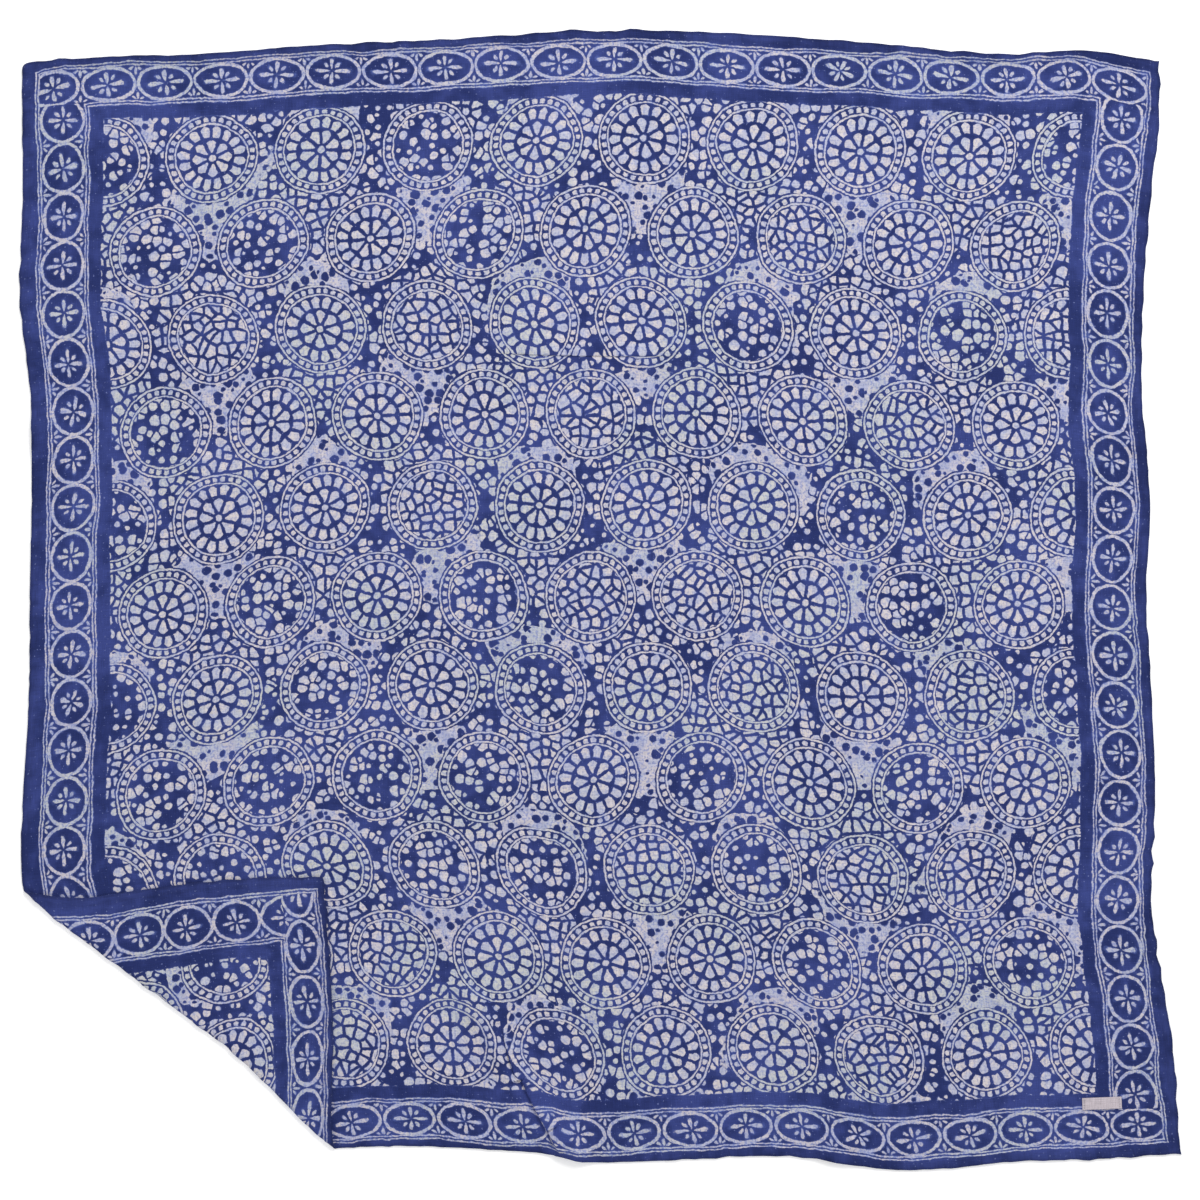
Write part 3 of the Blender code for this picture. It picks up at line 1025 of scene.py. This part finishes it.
def in_millimetres(tree, socket):
    """Coordinates in metres as millimetres."""
    scale = tree.nodes.new("ShaderNodeVectorMath")
    scale.operation = "SCALE"
    tree.links.new(socket, scale.inputs[0])
    scale.inputs["Scale"].default_value = 1 / MM
    return scale.outputs[0]


def painted_hem_shade(tree):
    """Painted shade: the turned hem lets no light through, so it is painted a little darker, and its rolled
    rim, which curves down out of the light, is painted darker still.
    """
    cut_map = tree.nodes.new("ShaderNodeUVMap")
    cut_map.uv_map = "OFBake"
    split = tree.nodes.new("ShaderNodeSeparateXYZ")
    tree.links.new(cut_map.outputs["UV"], split.inputs[0])
    right, up = Wire(tree, split.outputs[0]), Wire(tree, split.outputs[1])
    inside = right.smaller(1 - right).smaller(up.smaller(1 - up)) * (CUT_SIDE / MM)
    # Painted shade over the hem's width, and more over its rolled rim
    hem = 1 - inside.between(*PAINTED_HEM_SHADE_STEP)
    rim = 1 - inside.between(*PAINTED_RIM_SHADE_STEP)
    return hem * PAINTED_HEM_SHADE + rim * PAINTED_RIM_SHADE


def add_bump(tree, threads, shader, bump_sizes):
    """The weave's height as a bump, from its strength and its depth."""
    bump = tree.nodes.new("ShaderNodeBump")
    bump.inputs["Strength"].default_value, bump.inputs["Distance"].default_value = bump_sizes
    tree.links.new(threads.outputs["Height"], bump.inputs["Height"])
    tree.links.new(bump.outputs["Normal"], shader.inputs["Normal"])


def batik_material(weave):
    """Wax-resist dyed cotton. The print follows the cloth's own map."""
    material, tree, shader = blank_material("batik cotton")
    read_map = tree.nodes.new("ShaderNodeUVMap")
    read_map.uv_map = "print"
    place = in_millimetres(tree, read_map.outputs["UV"])
    threads = placed_group(tree, weave, place, Thread=CLOTH_THREAD)
    dyed = placed_group(tree, dye_group(print_group(oval_chain_group(), field_group())), place)
    # The slubs' uneven tone, less the painted shade of the hem and its rolled rim
    shade = Wire(tree, threads.outputs["Shade"]) - painted_hem_shade(tree)
    tree.links.new(shade.socket, dyed.inputs["Shade"])
    tree.links.new(dyed.outputs["Cloth Colour"], shader.inputs["Base Color"])
    rough = tree.nodes.new("ShaderNodeMapRange")
    rough.inputs["To Min"].default_value, rough.inputs["To Max"].default_value = COTTON_ROUGHNESS
    tree.links.new(dyed.outputs["White"], rough.inputs["Value"])
    tree.links.new(rough.outputs["Result"], shader.inputs["Roughness"])
    add_bump(tree, threads, shader, CLOTH_BUMP)
    shader.inputs["Specular IOR Level"].default_value = COTTON_GLOSS
    shader.inputs["Sheen Weight"].default_value, shader.inputs["Sheen Roughness"].default_value = COTTON_SHEEN
    return material


def woven_material(name, weave, thread, dark, light, roughness, bump_sizes=None):
    """Bare white threads, as wide as this in millimetres, with bumps where their sizes are given."""
    material, tree, shader = blank_material(name)
    coordinates = tree.nodes.new("ShaderNodeTexCoord")
    place = in_millimetres(tree, coordinates.outputs["Object"])
    threads = placed_group(tree, weave, place, Thread=thread)
    shade = Wire(tree, threads.outputs["Shade"]) + 0.5
    tree.links.new(mixed(tree, shade, dark, light), shader.inputs["Base Color"])
    if bump_sizes:
        add_bump(tree, threads, shader, bump_sizes)
    shader.inputs["Roughness"].default_value = roughness
    return material


def on_tape(along, across):
    """Where a place on the tape lies, from its offsets to the middle of its CAD node."""
    low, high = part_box("label")
    middle = (Vector(low) + Vector(high)) / 2
    x = along * math.cos(TAPE_TURN) - across * math.sin(TAPE_TURN)
    y = along * math.sin(TAPE_TURN) + across * math.cos(TAPE_TURN)
    return middle.x + x, middle.y + y


def add_tape(cloth_top):
    """The sewn tape, on the cloth where its CAD node lies."""
    deselect_all()
    bpy.ops.mesh.primitive_grid_add(x_subdivisions=40, y_subdivisions=12, size=1, location=(0, 0, 0))
    piece = bpy.context.object
    piece.name = "tape"
    for vertex in piece.data.vertices:
        share = vertex.co.x
        lift = TAPE_ARCH * (1 - (share * 2) ** 6) + TAPE_WAVE * math.sin(share * TAPE_WAVES)
        x, y = on_tape(share * TAPE_LENGTH, vertex.co.y * TAPE_WIDTH)
        vertex.co = (x, y, cloth_top + TAPE_THICKNESS + lift)
    thickness = piece.modifiers.new("Thickness", "SOLIDIFY")
    thickness.thickness = TAPE_THICKNESS
    thickness.offset = 0
    apply_modifiers(piece)
    bpy.ops.object.shade_smooth_by_angle(angle=math.radians(50))
    return piece


def add_stitches(tape):
    """Short stitches along both ends of the tape, through it and the cloth."""
    top = max(vertex.co.z for vertex in tape.data.vertices)
    stitches = []
    for end in (-1, 1):
        for number in range(STITCHES):
            across = (number - (STITCHES - 1) / 2) * STITCH_PITCH
            x, y = on_tape(end * (TAPE_LENGTH / 2 - STITCH_INSET), across)
            deselect_all()
            bpy.ops.mesh.primitive_uv_sphere_add(segments=10, ring_count=6, radius=0.5, location=(x, y, top))
            stitch = bpy.context.object
            stitch.scale = (STITCH_WIDTH, STITCH_LENGTH, STITCH_HEIGHT)
            stitch.rotation_euler = (0, 0, TAPE_TURN + STITCH_LEAN * end)
            stitches.append(stitch)
    deselect_all()
    for stitch in stitches:
        stitch.select_set(True)
    bpy.context.view_layer.objects.active = stitches[0]
    bpy.ops.object.join()
    bpy.ops.object.transform_apply(location=True, rotation=True, scale=True)
    piece = bpy.context.object
    piece.name = "tape_stitches"
    bpy.ops.object.shade_smooth()
    return piece


def add_floor():
    """A plain pale table under the cloth."""
    deselect_all()
    bpy.ops.mesh.primitive_plane_add(size=FLOOR_SIZE, location=(0, 0, FLOOR_TOP))
    floor = bpy.context.object
    floor.name = "floor"
    material, _, shader = blank_material("pale floor")
    shader.inputs["Base Color"].default_value = FLOOR_WHITE
    shader.inputs["Roughness"].default_value = FLOOR_ROUGHNESS
    # The white table is lit a little from below, which washes out most of the shadows on it
    shader.inputs["Emission Color"].default_value = (1, 1, 1, 1)
    shader.inputs["Emission Strength"].default_value = FLOOR_GLOW
    floor.data.materials.append(material)


def add_light(name, place, size, power):
    """A large soft lamp that faces the cloth."""
    lamp = bpy.data.lights.new(name, "AREA")
    lamp.energy = power
    lamp.size = size
    holder = bpy.data.objects.new(name, lamp)
    holder.location = place
    holder.rotation_euler = (-Vector(place)).to_track_quat("-Z", "Y").to_euler()
    bpy.context.scene.collection.objects.link(holder)


def add_studio(shift):
    """The camera over the middle of the photograph's frame, even light all round and the two lamps."""
    scene = bpy.context.scene
    camera = bpy.data.cameras.new("camera")
    camera.sensor_width = 36
    camera.lens = camera.sensor_width * CAMERA_HEIGHT / PICTURE_SPAN
    camera.clip_end = 20
    holder = bpy.data.objects.new("camera", camera)
    holder.location = (shift.x, shift.y, CAMERA_HEIGHT)
    scene.collection.objects.link(holder)
    scene.camera = holder
    world = bpy.data.worlds.new("studio")
    world.use_nodes = True
    world.node_tree.nodes["Background"].inputs["Color"].default_value = (1, 1, 1, 1)
    world.node_tree.nodes["Background"].inputs["Strength"].default_value = STUDIO_LIGHT
    scene.world = world
    scene.view_settings.view_transform = "Standard"
    add_light("main lamp", *MAIN_LAMP)
    add_light("fill lamp", *FILL_LAMP)


weave = weave_group()
bandana = add_bandana()
shift = seat_on_frame(bandana)
bandana.data.materials.append(batik_material(weave))
tape = add_tape(CLOTH_THICKNESS)
tape.data.materials.append(
    woven_material("woven tape", weave, TAPE_THREAD, TAPE_SHADE, TAPE_WHITE, TAPE_ROUGHNESS, TAPE_BUMP)
)
stitches = add_stitches(tape)
stitches.data.materials.append(
    woven_material("sewing thread", weave, SEWING_THREAD, THREAD_SHADE, THREAD_WHITE, SEWING_ROUGHNESS)
)
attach(stitches, "root")

for piece, node, slot in ((bandana, "cloth", "dyed_cotton"), (tape, "label", "woven_tape")):
    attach(piece, "root")
    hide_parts(node)

add_floor()
add_studio(shift)
